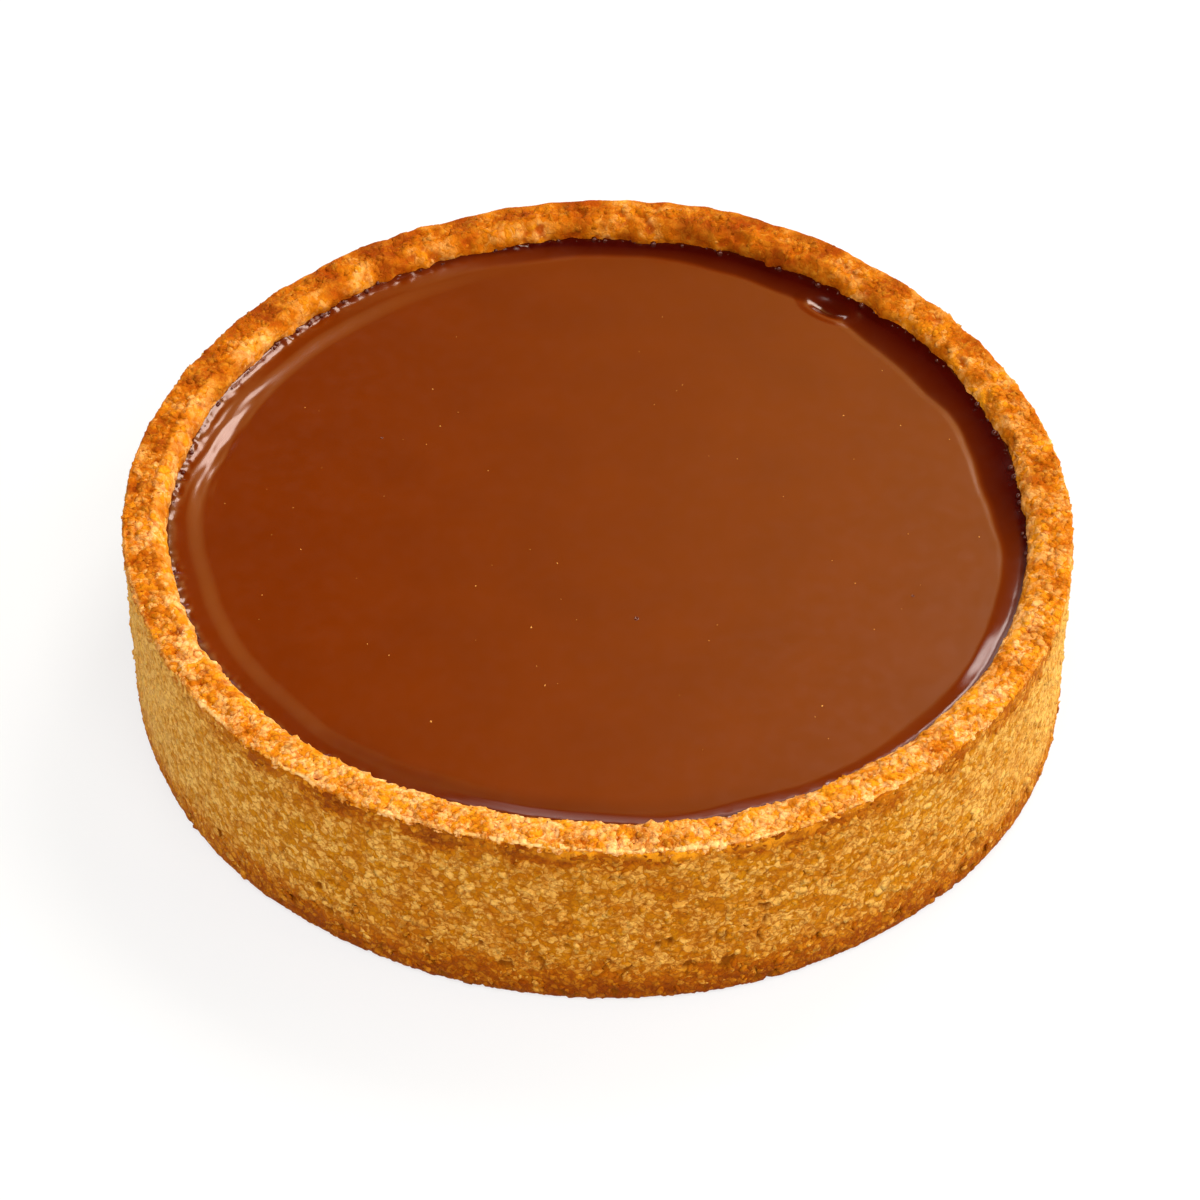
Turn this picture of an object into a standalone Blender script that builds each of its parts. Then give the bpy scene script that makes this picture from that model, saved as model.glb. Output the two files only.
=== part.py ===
"""A chocolate tart, 90 mm across: a shortcrust shell baked in a plain ring, filled with set chocolate.

Metres, +Z up. The origin is the centre of the flat underside. Both pieces are turned sections,
which are then made uneven round the rim, as a shell is whose dough was lined and trimmed by hand.
"""

import math

import bmesh
import bpy

# Shell
RADIUS = 0.0450
HEIGHT = 0.0200
WALL = 0.0045
FLOOR = 0.0045
FOOT_ROUND = 0.0012  # outer bottom edge
UNDERCUT = 0.0003  # how far the wall draws in under the rim
LIP_ROUND = 0.0006  # outer top edge
RIM_FLAT = 0.0020  # width of the trimmed, flat top
RIM_FALL = 0.0015  # from the flat top down to where the inner slope ends
INNER_ROUND = 0.0020  # where the inner wall meets the floor

# Filling
GAP = 0.0003
FILL_LEVEL = HEIGHT - 0.0024
CREEP_WIDTH = 0.0060  # the band beside the wall where the chocolate climbs
CREEP_HEIGHT = 0.0009

# Unevenness, each wave as (crests in a turn, size, turn of its cosine in degrees)
RIM_OUT_WAVES = ((2, 0.0003, -75), (3, 0.0004, -125), (7, 0.0001, 160))
RIM_UP_WAVES = ((2, 0.0001, -95), (3, 0.00015, -95), (4, 0.0002, -80))
FOOT_SHARE = 0.6  # of the outward waves that reaches the foot
UP_DEPTH = 0.0060  # how far below the rim the upward waves still move the wall

TURN_STEPS = 120
ROUND_STEPS = 3
SLOPE_STEPS = 4
WALL_STEPS = 4
MERGE_DISTANCE = 0.000001
SHARP_ANGLE = math.radians(50)

CRUST_COLOUR = (0.62, 0.33, 0.10, 1.0)
CRUST_ROUGHNESS = 0.75
CHOCOLATE_COLOUR = (0.26, 0.055, 0.012, 1.0)
CHOCOLATE_ROUGHNESS = 0.2


def arc(centre, half_width, half_height, start, end, steps):
    """Points (radius, height) on an ellipse's arc, from one angle in degrees to another."""
    angles = [math.radians(start + (end - start) * i / steps) for i in range(steps + 1)]
    return [
        (centre[0] + half_width * math.cos(a), centre[1] + half_height * math.sin(a))
        for a in angles
    ]


def outer_wall():
    """The wall between the rounded foot and the lip, drawing in towards the rim."""
    low = FOOT_ROUND
    high = HEIGHT - RIM_FALL
    heights = [low + (high - low) * i / WALL_STEPS for i in range(1, WALL_STEPS + 1)]
    return [(RADIUS - UNDERCUT * ((z - low) / (high - low)) ** 2, z) for z in heights]


def shell_section():
    """The shell's outline from the middle of its underside, round the wall, to the middle of its floor."""
    inner = RADIUS - WALL
    lip_foot = HEIGHT - LIP_ROUND
    flat_end = RADIUS - LIP_ROUND - RIM_FLAT
    foot = arc((RADIUS - FOOT_ROUND, FOOT_ROUND), FOOT_ROUND, FOOT_ROUND, -90, 0, ROUND_STEPS)
    lip = arc((RADIUS - LIP_ROUND, lip_foot), LIP_ROUND, LIP_ROUND, 0, 90, ROUND_STEPS)
    slope = arc((flat_end, HEIGHT - RIM_FALL), flat_end - inner, RIM_FALL, 90, 180, SLOPE_STEPS)
    corner_middle = (inner - INNER_ROUND, FLOOR + INNER_ROUND)
    corner = arc(corner_middle, INNER_ROUND, INNER_ROUND, 0, -90, ROUND_STEPS)
    return [(0.0, 0.0), *foot, *outer_wall(), *lip, *slope, *corner, (0.0, FLOOR)]


def creep(distance):
    """How far the chocolate has climbed at this distance from its edge, steepest at the edge."""
    share = max(0.0, 1.0 - distance / CREEP_WIDTH)
    return CREEP_HEIGHT * share**3


def filling_section():
    """The filling's outline, from the middle of its underside to the middle of its top."""
    edge = RADIUS - WALL - GAP
    bottom = FLOOR + GAP
    round_size = INNER_ROUND - GAP
    corner_middle = (edge - round_size, bottom + round_size)
    corner = arc(corner_middle, round_size, round_size, -90, 0, ROUND_STEPS)
    reach = [CREEP_WIDTH * (i / SLOPE_STEPS) ** 2 for i in range(SLOPE_STEPS + 1)]
    top = [(edge - d, FILL_LEVEL + creep(d)) for d in reach]
    return [(0.0, bottom), *corner, *top, (0.0, FILL_LEVEL)]


def wave(waves, angle):
    """The sum of the waves at this angle round the tart."""
    return sum(
        size * math.cos(crests * angle - math.radians(turn))
        for crests, size, turn in waves
    )


def make_uneven(mesh, moves_up):
    """Pushes each ring out by the outward waves and, near a shell's rim, up by the upward ones."""
    for vert in mesh.verts:
        radius = math.hypot(vert.co.x, vert.co.y)
        if radius < GAP:
            continue
        angle = math.atan2(vert.co.y, vert.co.x)
        rise = vert.co.z / HEIGHT
        share = FOOT_SHARE + (1 - FOOT_SHARE) * rise
        out = wave(RIM_OUT_WAVES, angle) * share * radius / RADIUS
        vert.co.x += out * math.cos(angle)
        vert.co.y += out * math.sin(angle)
        if moves_up:
            near_rim = max(0.0, 1.0 - (HEIGHT - vert.co.z) / UP_DEPTH)
            vert.co.z += wave(RIM_UP_WAVES, angle) * near_rim


def turned(name, section, moves_up, material):
    """One closed solid: the section spun about the Z axis and made uneven."""
    mesh = bmesh.new()
    verts = [mesh.verts.new((radius, 0.0, z)) for radius, z in section]
    edges = [mesh.edges.new(pair) for pair in zip(verts, verts[1:])]
    bmesh.ops.spin(
        mesh,
        geom=verts + edges,
        cent=(0, 0, 0),
        axis=(0, 0, 1),
        angle=math.tau,
        steps=TURN_STEPS,
    )
    bmesh.ops.remove_doubles(mesh, verts=mesh.verts, dist=MERGE_DISTANCE)
    make_uneven(mesh, moves_up)
    bmesh.ops.recalc_face_normals(mesh, faces=mesh.faces)
    data = bpy.data.meshes.new(name)
    mesh.to_mesh(data)
    mesh.free()
    data.shade_smooth()
    data.set_sharp_from_angle(angle=SHARP_ANGLE)
    data.materials.append(material)
    node = bpy.data.objects.new(name, data)
    bpy.context.scene.collection.objects.link(node)
    return node


def plain_material(name, colour, roughness):
    material = bpy.data.materials.new(name)
    material.use_nodes = True
    shader = material.node_tree.nodes["Principled BSDF"]
    shader.inputs["Base Color"].default_value = colour
    shader.inputs["Roughness"].default_value = roughness
    return material


def clear_scene():
    for old in list(bpy.data.objects):
        bpy.data.objects.remove(old)


def main():
    clear_scene()
    crust = plain_material("baked_crust", CRUST_COLOUR, CRUST_ROUGHNESS)
    chocolate = plain_material("chocolate", CHOCOLATE_COLOUR, CHOCOLATE_ROUGHNESS)
    turned("tart_shell", shell_section(), True, crust)
    turned("chocolate_filling", filling_section(), False, chocolate)


main()
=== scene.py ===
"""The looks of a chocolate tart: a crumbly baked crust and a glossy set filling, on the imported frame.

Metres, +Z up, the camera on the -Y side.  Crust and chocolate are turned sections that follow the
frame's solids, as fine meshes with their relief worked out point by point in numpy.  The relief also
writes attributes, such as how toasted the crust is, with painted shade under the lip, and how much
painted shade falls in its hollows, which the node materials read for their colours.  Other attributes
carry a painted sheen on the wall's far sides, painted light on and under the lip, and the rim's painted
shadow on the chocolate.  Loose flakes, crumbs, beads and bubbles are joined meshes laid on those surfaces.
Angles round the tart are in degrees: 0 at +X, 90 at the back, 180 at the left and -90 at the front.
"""

import itertools
import math

import bmesh
import bpy
import numpy as np
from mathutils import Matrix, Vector
from mathutils.bvhtree import BVHTree


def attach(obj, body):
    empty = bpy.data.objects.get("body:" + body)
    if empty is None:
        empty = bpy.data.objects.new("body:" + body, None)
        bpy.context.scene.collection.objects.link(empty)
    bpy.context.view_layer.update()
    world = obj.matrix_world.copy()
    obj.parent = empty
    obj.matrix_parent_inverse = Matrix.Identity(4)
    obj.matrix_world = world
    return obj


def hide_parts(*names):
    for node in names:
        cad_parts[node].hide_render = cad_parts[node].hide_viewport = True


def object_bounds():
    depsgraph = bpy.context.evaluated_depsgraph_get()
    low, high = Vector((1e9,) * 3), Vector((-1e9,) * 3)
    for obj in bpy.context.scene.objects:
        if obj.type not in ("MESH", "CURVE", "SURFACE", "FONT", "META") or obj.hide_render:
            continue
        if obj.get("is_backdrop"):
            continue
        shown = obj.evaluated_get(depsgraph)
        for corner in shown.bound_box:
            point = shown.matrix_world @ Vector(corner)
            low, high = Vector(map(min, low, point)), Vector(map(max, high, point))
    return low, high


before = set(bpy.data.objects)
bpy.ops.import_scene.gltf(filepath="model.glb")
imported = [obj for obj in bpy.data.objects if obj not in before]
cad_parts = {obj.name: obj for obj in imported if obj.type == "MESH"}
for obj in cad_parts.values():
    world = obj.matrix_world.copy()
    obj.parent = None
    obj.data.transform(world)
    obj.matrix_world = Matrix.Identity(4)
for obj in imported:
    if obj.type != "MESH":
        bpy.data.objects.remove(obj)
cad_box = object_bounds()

MM = 0.001
SHELL = "tart_shell"
FILLING = "chocolate_filling"

# ------------------------------------------------------------------ noise over arrays of points

MASK = 0xFFFFFFFF
AXIS_PRIMES = (73856093, 19349663, 83492791)
SEED_PRIME = 2971215073
SCRAMBLE = 0x2C1B3C6D
NOISE_GAIN = 1.7  # brings gradient noise to about -1 to 1


def scrambled(cells, seed):
    """A steady pseudo-random number from 0 to 1 for each cell, a row of three whole numbers."""
    mixed = np.full(len(cells), seed * SEED_PRIME & MASK)
    for axis, prime in enumerate(AXIS_PRIMES):
        mixed = mixed ^ (cells[:, axis] * prime & MASK)
    for shift in (16, 15, 13):
        mixed = (mixed ^ mixed >> shift) * SCRAMBLE & MASK
    return (mixed ^ mixed >> 16) / MASK


def smooth_noise(points, size, seed):
    """Gradient noise, from about -1 to 1, in lumps of this size."""
    scaled = points / size
    base = np.floor(scaled).astype(np.int64)
    part = scaled - base
    ease = part**3 * (part * (part * 6 - 15) + 10)
    total = np.zeros(len(points))
    for corner in itertools.product((0, 1), repeat=3):
        slopes = [scrambled(base + corner, seed + axis) * 2 - 1 for axis in range(3)]
        weight = np.prod(np.where(corner, ease, 1 - ease), axis=1)
        total += weight * np.sum(np.stack(slopes, 1) * (part - corner), axis=1)
    return total * NOISE_GAIN


def rough_noise(points, size, seed, octaves=3, keep=0.5):
    """Gradient noise with finer and weaker layers on top."""
    layers = range(octaves)
    total = sum(keep**i * smooth_noise(points, size / 2**i, seed + 10 * i) for i in layers)
    return total / sum(keep**i for i in layers)


def grain_noise(points, size, seed):
    """Scattered grains, as three values for each point.

    The distance to the nearest grain's centre and how much further the next one is, both in grain
    sizes, and the nearest grain's own number, from 0 to 1.
    """
    scaled = points / size
    base = np.floor(scaled).astype(np.int64)
    nearest = np.full(len(points), np.inf)
    second = np.full(len(points), np.inf)
    own = np.zeros(len(points))
    for corner in itertools.product((-1, 0, 1), repeat=3):
        cell = base + corner
        centre = cell + np.stack([scrambled(cell, seed + axis) for axis in range(3)], 1)
        gap = np.linalg.norm(scaled - centre, axis=1)
        closer = gap < nearest
        second = np.where(closer, nearest, np.minimum(second, gap))
        own = np.where(closer, scrambled(cell, seed + 3), own)
        nearest = np.minimum(nearest, gap)
    return nearest, second - nearest, own


def step(low, high, value):
    """0 below low, 1 above high, and smooth between them; low may be the larger."""
    share = np.clip((value - low) / (high - low), 0, 1)
    return share * share * (3 - 2 * share)


def angles_of(points):
    """Each point's angle round the tart, in radians."""
    return np.arctan2(points[:, 1], points[:, 0])


def radius_of(points):
    """Each point's distance from the tart's axis."""
    return np.hypot(points[:, 0], points[:, 1])


def near_angle(angles, middle, half_width):
    """1 at this angle round the tart, falling smoothly to 0 at half_width degrees away."""
    away = np.abs((np.degrees(angles) - middle + 180) % 360 - 180)
    return step(half_width, 0, away)


# ------------------------------------------------------------------ measuring the frame

PROBES = 240
FAR = 0.1
FOOT_PROBE = 2.0 * MM
RIM_PROBE = 18.0 * MM
INNER_PROBE = 15.0 * MM
FLAT_PROBE = 1.5 * MM


def probed(tree, starts, directions):
    """Where rays with these starts and directions meet a CAD node."""
    hits = [tree.ray_cast(Vector(s), Vector(d))[0] for s, d in zip(starts, directions)]
    return np.array([tuple(hit) for hit in hits])


def frame_rings():
    """The CAD shell's radii and rim height round the tart, each as a function of angles."""
    graph = bpy.context.evaluated_depsgraph_get()
    shell = BVHTree.FromObject(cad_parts[SHELL], graph)
    angles = np.linspace(0, math.tau, PROBES, endpoint=False)
    outward = np.stack([np.cos(angles), np.sin(angles), np.zeros(PROBES)], 1)
    up = np.array([0, 0, 1.0])

    def radius(height, direction, reach):
        hits = probed(shell, outward * reach + up * height, outward * direction)
        return np.linalg.norm(hits[:, :2], axis=1)

    rings = {
        "foot": radius(FOOT_PROBE, -1, FAR),
        "rim": radius(RIM_PROBE, -1, FAR),
        "inner": radius(INNER_PROBE, 1, 0),
    }
    over_flat = outward * (rings["rim"] - FLAT_PROBE)[:, None] + up * FAR
    rings["top"] = probed(shell, over_flat, -np.tile(up, (PROBES, 1)))[:, 2]
    closed = np.append(angles, math.tau)
    return {
        name: lambda a, values=np.append(values, values[0]): np.interp(a % math.tau, closed, values)
        for name, values in rings.items()
    }


# ------------------------------------------------------------------ turned meshes


def turn_angles(count):
    return np.linspace(0, math.tau, count, endpoint=False)


def ring(radius, height, count):
    """The points of one ring; radius and height are numbers or functions of the angles."""
    angles = turn_angles(count)
    radius = radius(angles) if callable(radius) else np.full(count, radius)
    height = height(angles) if callable(height) else np.full(count, height)
    return np.stack([radius * np.cos(angles), radius * np.sin(angles), height], 1)


def stitches(first, first_count, second, second_count):
    """Faces between two rings that start at these point numbers; one may have half the other's points."""
    if first_count == second_count:
        here = np.arange(first_count)
        then = (here + 1) % first_count
        return np.stack([first + here, first + then, second + then, second + here], 1).tolist()
    flip = second_count > first_count
    fine, coarse, count = (second, first, first_count) if flip else (first, second, second_count)
    here = np.arange(count)
    then = (here + 1) % count
    left = fine + 2 * here
    middle = left + 1
    right = fine + 2 * then
    fans = [
        (left, middle, coarse + here),
        (middle, coarse + then, coarse + here),
        (middle, right, coarse + then),
    ]
    faces = np.concatenate([np.stack(fan, 1) for fan in fans])
    return (faces[:, ::-1] if flip else faces).tolist()


def turned_mesh(name, rings, closed=False):
    """One mesh through the rings: a loop of rings if closed, else with a middle point at each end."""
    points = np.concatenate(rings)
    starts = np.cumsum([0] + [len(r) for r in rings])
    faces = []
    pairs = list(zip(range(len(rings)), range(1, len(rings))))
    if closed:
        pairs.append((len(rings) - 1, 0))
    for a, b in pairs:
        faces += stitches(starts[a], len(rings[a]), starts[b], len(rings[b]))
    if not closed:
        for number, first_end in ((0, True), (len(rings) - 1, False)):
            here = np.arange(len(rings[number]))
            then = (here + 1) % len(here)
            middle = np.full(len(here), len(points))
            points = np.vstack([points, rings[number].mean(0)])
            fan = [middle, starts[number] + then, starts[number] + here]
            faces += np.stack(fan if first_end else fan[::-1], 1).tolist()
    mesh = bpy.data.meshes.new(name)
    mesh.from_pydata(points.tolist(), [], faces)
    mesh.update()
    return mesh


def mesh_points(mesh):
    points = np.zeros(len(mesh.vertices) * 3, np.float32)
    mesh.vertices.foreach_get("co", points)
    return points.reshape(-1, 3).astype(float)


def mesh_normals(mesh):
    normals = np.zeros(len(mesh.vertices) * 3, np.float32)
    mesh.vertices.foreach_get("normal", normals)
    return normals.reshape(-1, 3).astype(float)


def move_points(mesh, points):
    mesh.vertices.foreach_set("co", points.astype(np.float32).ravel())
    mesh.update()


def set_attribute(mesh, name, values):
    layer = mesh.attributes.new(name, "FLOAT", "POINT")
    layer.data.foreach_set("value", values.astype(np.float32))


def finished_piece(mesh, material, node):
    """The mesh as a smooth-shaded piece of the tart that stands for a CAD node."""
    mesh.shade_smooth()
    mesh.materials.append(material)
    piece = bpy.data.objects.new(mesh.name, mesh)
    bpy.context.scene.collection.objects.link(piece)
    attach(piece, "root")
    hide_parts(node)


# ------------------------------------------------------------------ the crust

WALL_TURN = 1280
WALL_ROWS = 66
RIM_TURN = 2048
FOOT_ROUND = 0.8 * MM
FOOT_STEPS = 4
UNDER_LIP = 0.45 * MM  # how far below the rim's top the wall starts to tuck in under the rim
WALL_TOP = 20 * MM
BASE_LIFT = 0.02 * MM
FLOOR_TOP = 4.5 * MM
# The wall's hidden rings, each with fewer points than WALL_TURN by the given number of halvings.
UNDERSIDE_RINGS = ((9, 6), (18, 5), (28, 4), (35, 3), (38, 2), (41, 1), (42, 1), (42.8, 0))  # radius in mm
TUCK_RINGS = ((0.25, -0.12), (0.7, 0.1), (1.2, 0.8))  # how far in from the rim and below UNDER_LIP, in mm
INSIDE_RINGS = ((0.3, 16, 1), (0.1, 10, 2), (0, 4.5, 3))  # how far behind the inner wall, height, in mm
FLOOR_RINGS = ((25, 4), (12, 5))  # radius in mm
LIP_ROUND = 0.35 * MM
RIM_FLAT = 2.2 * MM
RIM_FALL = 1.7 * MM  # from the rim's flat top down to where its inner slope ends
RIM_RADIUS = 45 * MM
RIM_SKIRT = 3.2 * MM  # how far below its top the rim piece reaches, inside wall and chocolate
RIM_FLAT_STEPS = 15
RIM_SLOPE_STEPS = 16


def arc(middle, wide, high, start, end, steps):
    """Points on an ellipse's arc, from one angle in degrees to another."""
    turns = np.radians(np.linspace(start, end, steps + 1))
    return [(middle[0] + wide * math.cos(t), middle[1] + high * math.sin(t)) for t in turns]


def around_edge(angles):
    """Points on a circle by the chocolate's edge, for noise that follows it."""
    return np.stack([np.cos(angles), np.sin(angles), np.zeros(len(angles))], 1) * 40 * MM


def wavy_edge(rings, angles):
    """The radius at which the crust's inner slope meets the chocolate, smoothed."""
    return rings["inner"](angles) + 0.28 * MM * rough_noise(around_edge(angles), 7 * MM, 51, 2)


def inner_edge(rings, angles):
    """The same radius with its fine unevenness, which is strongest at the back."""
    fine = rough_noise(around_edge(angles), 1.8 * MM, 53, 2)
    return wavy_edge(rings, angles) + MM * fine * (0.10 + 0.20 * near_angle(angles, 80, 110))


def wall_rings(rings):
    """The outer wall with its foot, the underside, and a plain inside that the rim and chocolate hide."""

    def outer(height):
        share = min(1.0, height / RIM_PROBE)
        return lambda a: rings["foot"](a) + (rings["rim"](a) - rings["foot"](a)) * share

    rows = []
    for radius, halvings in UNDERSIDE_RINGS:
        rows.append(ring(radius * MM, BASE_LIFT, WALL_TURN // 2**halvings))
    for inset, height in arc((FOOT_ROUND, FOOT_ROUND), FOOT_ROUND, FOOT_ROUND, 270, 180, FOOT_STEPS):
        rows.append(ring(lambda a, i=inset: rings["foot"](a) - i, height, WALL_TURN))
    for number in range(1, WALL_ROWS + 1):
        share = number / WALL_ROWS
        nominal = FOOT_ROUND + (WALL_TOP - UNDER_LIP - FOOT_ROUND) * share
        height = lambda a, s=share: FOOT_ROUND + (rings["top"](a) - UNDER_LIP - FOOT_ROUND) * s
        rows.append(ring(outer(nominal), height, WALL_TURN))
    for tuck, drop in TUCK_RINGS:
        radius = lambda a, t=tuck: rings["rim"](a) - t * MM
        rows.append(ring(radius, lambda a, d=drop: rings["top"](a) - UNDER_LIP - d * MM, WALL_TURN))
    for behind, height, halvings in INSIDE_RINGS:
        radius = lambda a, b=behind: rings["inner"](a) + b * MM
        rows.append(ring(radius, height * MM, WALL_TURN // 2**halvings))
    for radius, halvings in FLOOR_RINGS:
        rows.append(ring(radius * MM, FLOOR_TOP, WALL_TURN // 2**halvings))
    return rows


def rim_rings(rings):
    """The trimmed top of the wall: outer edge, flat, inner slope, and a skirt that other pieces hide."""
    slope_width = lambda a: rings["rim"](a) - inner_edge(rings, a) - LIP_ROUND - RIM_FLAT
    rows = []

    def add(inset, drop):
        """Adds a ring this far in from the rim's outer radius and this far below its top."""
        inset_at = inset if callable(inset) else lambda a: np.full(len(a), inset)
        radius = lambda a: rings["rim"](a) - inset_at(a)
        rows.append(ring(radius, lambda a: rings["top"](a) - drop, RIM_TURN))

    add(0.6 * MM, RIM_SKIRT * 0.6)
    add(0.0, UNDER_LIP * 1.6)
    for inset, drop in arc((LIP_ROUND, LIP_ROUND), LIP_ROUND, LIP_ROUND, 180, 270, 5):
        add(inset, drop)
    for number in range(1, RIM_FLAT_STEPS + 1):
        add(LIP_ROUND + RIM_FLAT * (number / RIM_FLAT_STEPS), 0.0)
    for turn in np.radians(np.linspace(0, 90, RIM_SLOPE_STEPS + 1)[1:]):
        share = math.sin(turn)
        add(lambda a, s=share: LIP_ROUND + RIM_FLAT + slope_width(a) * s, RIM_FALL * (1 - math.cos(turn)))
    add(lambda a: LIP_ROUND + RIM_FLAT + slope_width(a), RIM_FALL + 0.4 * MM)
    add(lambda a: LIP_ROUND + RIM_FLAT + slope_width(a), RIM_SKIRT)
    return rows


def painted_sheen_sides(angles):
    """1 at the far left and far right of the wall, where a painted sheen makes it palest."""
    return near_angle(angles, -12, 50) + near_angle(angles, 195, 45)


def wall_relief(points):
    """How far the wall stands out, how much painted shade its hollows take, and how pale it is, at each
    point.
    """
    angles = angles_of(points)
    height = points[:, 2]
    front = near_angle(angles, -70, 130)
    upright = points * (1, 1, 0.7)
    warped = upright + 0.2 * MM * np.stack([smooth_noise(upright, 0.8 * MM, 11 + i) for i in range(3)], 1)
    near, edge, own = grain_noise(warped, 0.75 * MM, 3)
    grain = (0.25 + 0.75 * own) * (1 - near**2) * step(0.0, 0.3, edge)
    torn = rough_noise(upright, 1.2 * MM, 21, 2)
    lowness = step(13 * MM, 3 * MM, height)
    often = 0.30 * lowness * (0.3 + 0.7 * front) + 0.10 * smooth_noise(upright, 5 * MM, 25)
    holes = step(0.55, 0.75, often - torn)
    crumb = rough_noise(points, 1.6 * MM, 37, 3)
    lumps = rough_noise(points, 6 * MM, 41, 2)
    sway = smooth_noise(points, 18 * MM, 43)
    relief = (0.10 + 0.05 * front) * grain - 0.30 * holes + 0.06 * crumb + 0.10 * lumps + 0.12 * sway - 0.06
    # Painted shade in the holes, at grain edges and in the dips between crumbs, halved at the far left and
    # right.
    hollow = np.clip(holes + 0.25 * step(0.10, 0.0, edge) + 0.3 * step(-0.2, -0.6, crumb), 0, 1)
    sides = painted_sheen_sides(angles)
    # Pale is the grains' own paleness plus a painted sheen at the far left and right.
    pale = own * step(0.8, 0.3, near) + 0.9 * sides
    return relief * MM, hollow * (1 - 0.5 * sides), pale


def second_number(values):
    """Another number from 0 to 1 made from each of these, so that a grain can have two."""
    return values * 97.0 % 1.0


# The rim's own marks: their angle, then in mm how far in, half their length and width, and their depth.
RIM_DENTS = (
    (-74, 3.5, 1.7, 0.8, 0.55),
    (-76, 2.2, 0.5, 1.3, 0.35),
    (-88, 1.6, 0.28, 1.5, 0.30),
    (-125, 0.8, 0.6, 0.4, 0.45),
    (-152, 1.4, 1.5, 0.5, 0.40),
    (-156, 2.2, 0.7, 0.5, 0.40),
    (-148, 2.4, 0.6, 0.5, 0.35),
    (177, 1.0, 1.0, 0.45, 0.35),
    (186, 1.3, 1.2, 0.4, 0.40),
    (93, 1.8, 1.0, 1.3, 0.50),
    (55, 2.0, 1.4, 0.6, 0.35),
    (38, 1.6, 1.0, 0.5, 0.30),
    (8, 2.4, 0.8, 0.6, 0.30),
    (84, 2.8, 0.9, 0.8, 0.35),
    (70, 3.3, 1.5, 0.6, 0.45),
    (62, 2.9, 1.0, 0.8, 0.40),
    (112, 2.2, 1.3, 0.5, 0.35),
    (128, 3.1, 1.0, 0.5, 0.30),
    (30, 3.2, 1.1, 0.5, 0.30),
    (20, 1.8, 0.8, 0.4, 0.30),
)
RIM_BUMPS = (
    (-149, 4.3, 0.9, 0.7, 0.30),
    (-79, 0.5, 2.2, 0.8, 0.25),
    (100, 2.6, 2.0, 1.2, 0.30),
    (72, 1.6, 2.5, 1.2, 0.25),
)


def marks(points, angles, inset, listed):
    """The summed depth in mm of ragged-edged marks on the rim."""
    ragged = 0.35 * rough_noise(points, 0.9 * MM, 83, 2)
    total = np.zeros(len(angles))
    for angle, middle, along, across, depth in listed:
        turn = np.radians((np.degrees(angles) - angle + 180) % 360 - 180)
        apart = np.hypot(turn * RIM_RADIUS / (along * MM), (inset - middle * MM) / (across * MM))
        total += depth * step(1.1, 0.3, apart + ragged)
    return total


def rim_crumbliness(angles, inset, slope):
    """1 where the rim is all crumbs, at the front; less on its slope, least at the back's outer edge."""
    smooth_edge = near_angle(angles, 90, 130) * step(1.2 * MM, 0.4 * MM, inset)
    return (0.65 + 0.35 * near_angle(angles, -90, 175)) * (1 - 0.4 * slope) * (1 - 0.75 * smooth_edge)


def rim_relief(points, inset):
    """The same three for the rim and how crumbly it is; inset is the distance in from its outer edge."""
    angles = angles_of(points)
    front = near_angle(angles, -90, 130)
    back = near_angle(angles, 90, 110)
    left = near_angle(angles, 180, 70)
    warp = np.stack([smooth_noise(points, 0.9 * MM, 60 + i) for i in range(3)], 1)
    warped = points + 0.35 * MM * warp
    near, edge, own = grain_noise(warped, 1.1 * MM, 63)
    grain = (0.1 + 0.9 * own) * (1 - near**2) * step(0.0, 0.2, edge)
    small_near, small_edge, small_own = grain_noise(warped, 0.5 * MM, 67)
    small = small_own * (1 - small_near**2) * step(0.0, 0.25, small_edge)
    crags = 1 - np.abs(rough_noise(points, 1.7 * MM, 71, 3)) * 3
    hole_near, _, hole_own = grain_noise(warped, 1.15 * MM, 75)
    chance = 0.10 + 0.12 * front + 0.16 * left
    holes = step(1.0, 0.3, hole_near / (0.2 + 0.2 * second_number(hole_own))) * (hole_own < chance)
    lumps = rough_noise(points, 4.0 * MM, 79, 2)
    wander = 0.5 * MM * rough_noise(points, 5 * MM, 81, 2)
    slope = step(2.2 * MM, 3.0 * MM, inset + wander)
    crease = step(0.35 * MM, 0.0, np.abs(inset + wander - 2.5 * MM)) * left
    crumbly = rim_crumbliness(angles, inset, slope)
    dents = marks(points, angles, inset, RIM_DENTS)
    relief = crumbly * (0.28 * grain + 0.08 * small + 0.10 * crags)
    relief -= 0.35 * holes * (1 - 0.5 * back) * (1 - slope)
    relief += (0.18 + 0.16 * back + 0.06 * slope) * lumps - 0.22 * crumbly - 0.16 * crease
    crumbs = rough_noise(points, 1.6 * MM, 85, 2)
    relief += (0.36 * back * step(0.2 * MM, 1.3 * MM, inset) + 0.08 * slope) * crumbs
    relief += marks(points, angles, inset, RIM_BUMPS) - dents
    # Painted shade in the grain gaps, the low crags, the crease, the dents and the crevices at the back.
    gaps = step(0.12, 0.0, edge) * 0.35 + step(0.10, 0.0, small_edge) * 0.15
    hollow = holes * (1 - slope) + gaps * crumbly + 0.35 * step(0.2, -0.6, crags) + 0.3 * crease + 0.8 * dents
    hollow += 0.9 * np.maximum(back, 0.6 * slope) * step(-0.12, -0.45, crumbs)
    pale = np.clip(own * step(0.8, 0.2, near) + 0.5 * small_own * step(0.6, 0.2, small_near), 0, 1)
    # Painted light: the inner slope at the left, which faces the key light, is painted paler.
    pale = np.clip(pale * (0.6 + 0.4 * crumbly) + 0.25 * slope * left, 0, 1)
    return relief * MM, np.clip(hollow, 0, 1), pale, crumbly


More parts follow.
